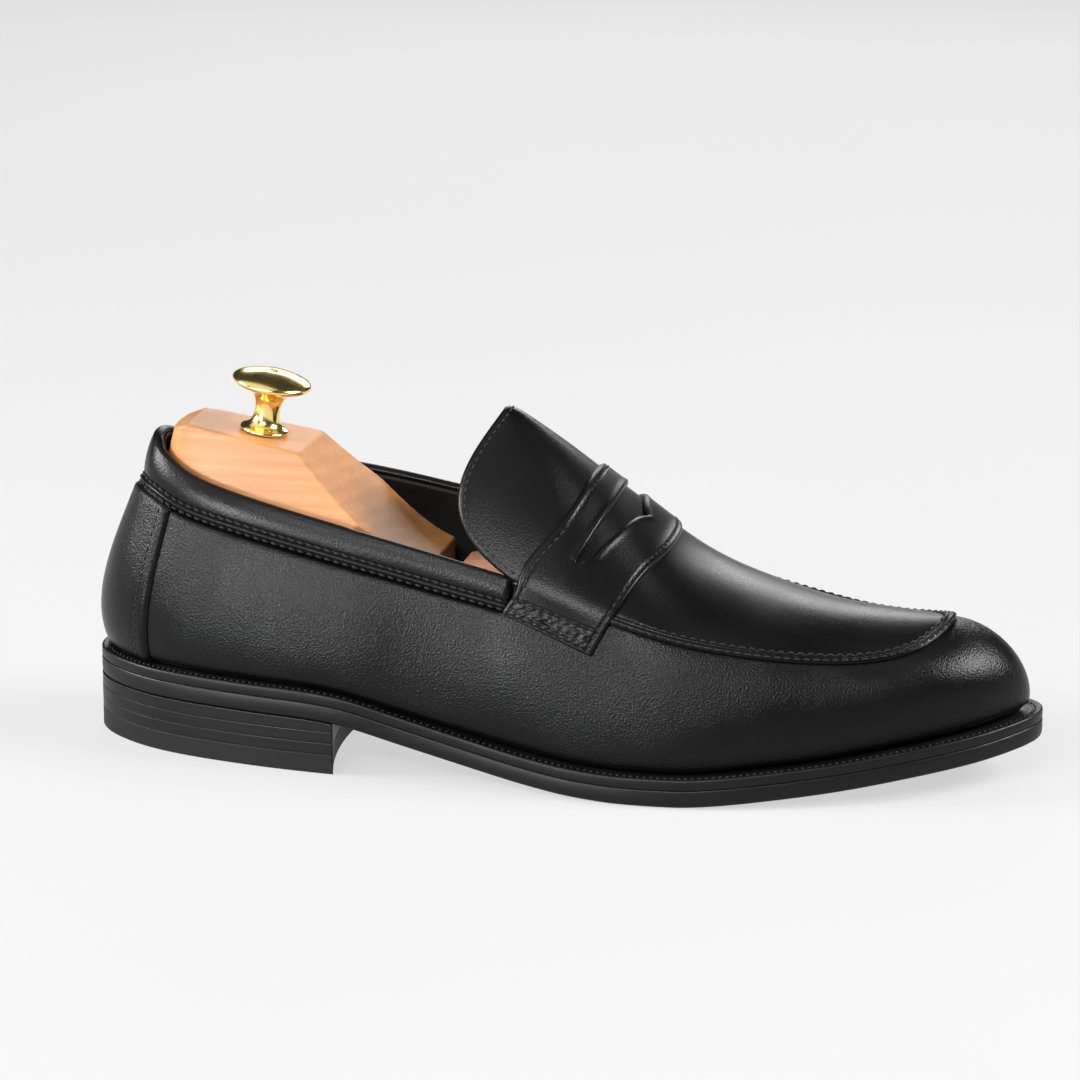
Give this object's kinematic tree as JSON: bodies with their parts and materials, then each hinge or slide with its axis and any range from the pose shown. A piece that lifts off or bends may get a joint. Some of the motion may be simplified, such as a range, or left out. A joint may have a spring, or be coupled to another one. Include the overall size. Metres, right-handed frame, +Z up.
{
  "type": "penny loafer",
  "caption": "Low slip-on leather shoe for the right foot with a slit saddle strap, raised apron seam, stacked heel and a sprung wooden shoe tree fitted.",
  "frame": {"origin": "centre of the bottom of the bounding box, on the ground", "axes": "+X from the heel back to the toe, +Y to the inner side of the right foot, +Z up from the ground"},
  "size_m": [0.3, 0.1014, 0.1179],
  "materials": {
    "upper_leather": "semi-gloss black calf leather with a fine grain",
    "apron_leather": "smooth satin black calf leather",
    "lining_leather": "matt black lining leather",
    "textile_lining": "woven drill lining",
    "tape": "woven reinforcing tape",
    "fibreboard": "stiffened leather board",
    "sole_leather": "burnished black sole leather, satin",
    "heel_leather": "burnished black stacked heel leather, satin",
    "heel_rubber": "matt black rubber",
    "insole_leather": "plain insole leather",
    "cork": "ground cork filler",
    "spring_steel": "bright steel wire",
    "steel": "bright steel",
    "block_wood": "pale sanded wood with fine straight grain",
    "forepart_wood": "pinkish-brown sanded wood",
    "knob_brass": "polished gold-coloured brass"
  },
  "bodies": {
    "shoe": {"vamp_and_quarters": "upper_leather", "collar_band": "upper_leather", "apron_and_tongue": "apron_leather", "tongue_lining": "lining_leather", "apron_lining": "textile_lining", "topline_tape": "tape", "heel_counter": "fibreboard", "toe_puff": "fibreboard", "heel_grip_lining": "lining_leather", "quarter_lining_outer": "lining_leather", "quarter_lining_inner": "lining_leather", "vamp_lining": "textile_lining", "back_strip": "upper_leather", "saddle_strap": "upper_leather", "outsole": "sole_leather", "welt_midsole": "sole_leather", "heel_top_piece": "heel_rubber", "heel_lift_1": "heel_leather", "heel_lift_2": "heel_leather", "heel_lift_3": "heel_leather", "insole": "insole_leather", "sock_liner": "lining_leather", "cork_filler": "cork", "shank": "steel", "heel_screw": "steel", "tree_sleeve": "steel", "tree_main_spring": "spring_steel", "tree_forepart_main": "forepart_wood", "tree_guide_pin_1": "steel", "tree_guide_pin_2": "steel", "tree_spread_spring": "spring_steel"},
    "tree_heel": {"tree_heel_block": "block_wood", "tree_rod": "steel", "tree_knob": "knob_brass", "tree_knob_stud": "steel"},
    "tree_side": {"tree_forepart_side": "forepart_wood"}
  },
  "joints": [
    {"name": "tree_push", "type": "slide", "parent": "shoe", "child": "tree_heel", "axis": [1, 0, 0], "range_m": [0, 0.006], "stiffness_N_per_m": 800, "springref_m": -0.02, "deforming": ["tree_main_spring"]},
    {"name": "tree_squeeze", "type": "slide", "parent": "shoe", "child": "tree_side", "axis": [0, -1, 0], "range_m": [0, 0.0038], "stiffness_N_per_m": 1500, "springref_m": -0.004, "deforming": ["tree_spread_spring"]}
  ]
}
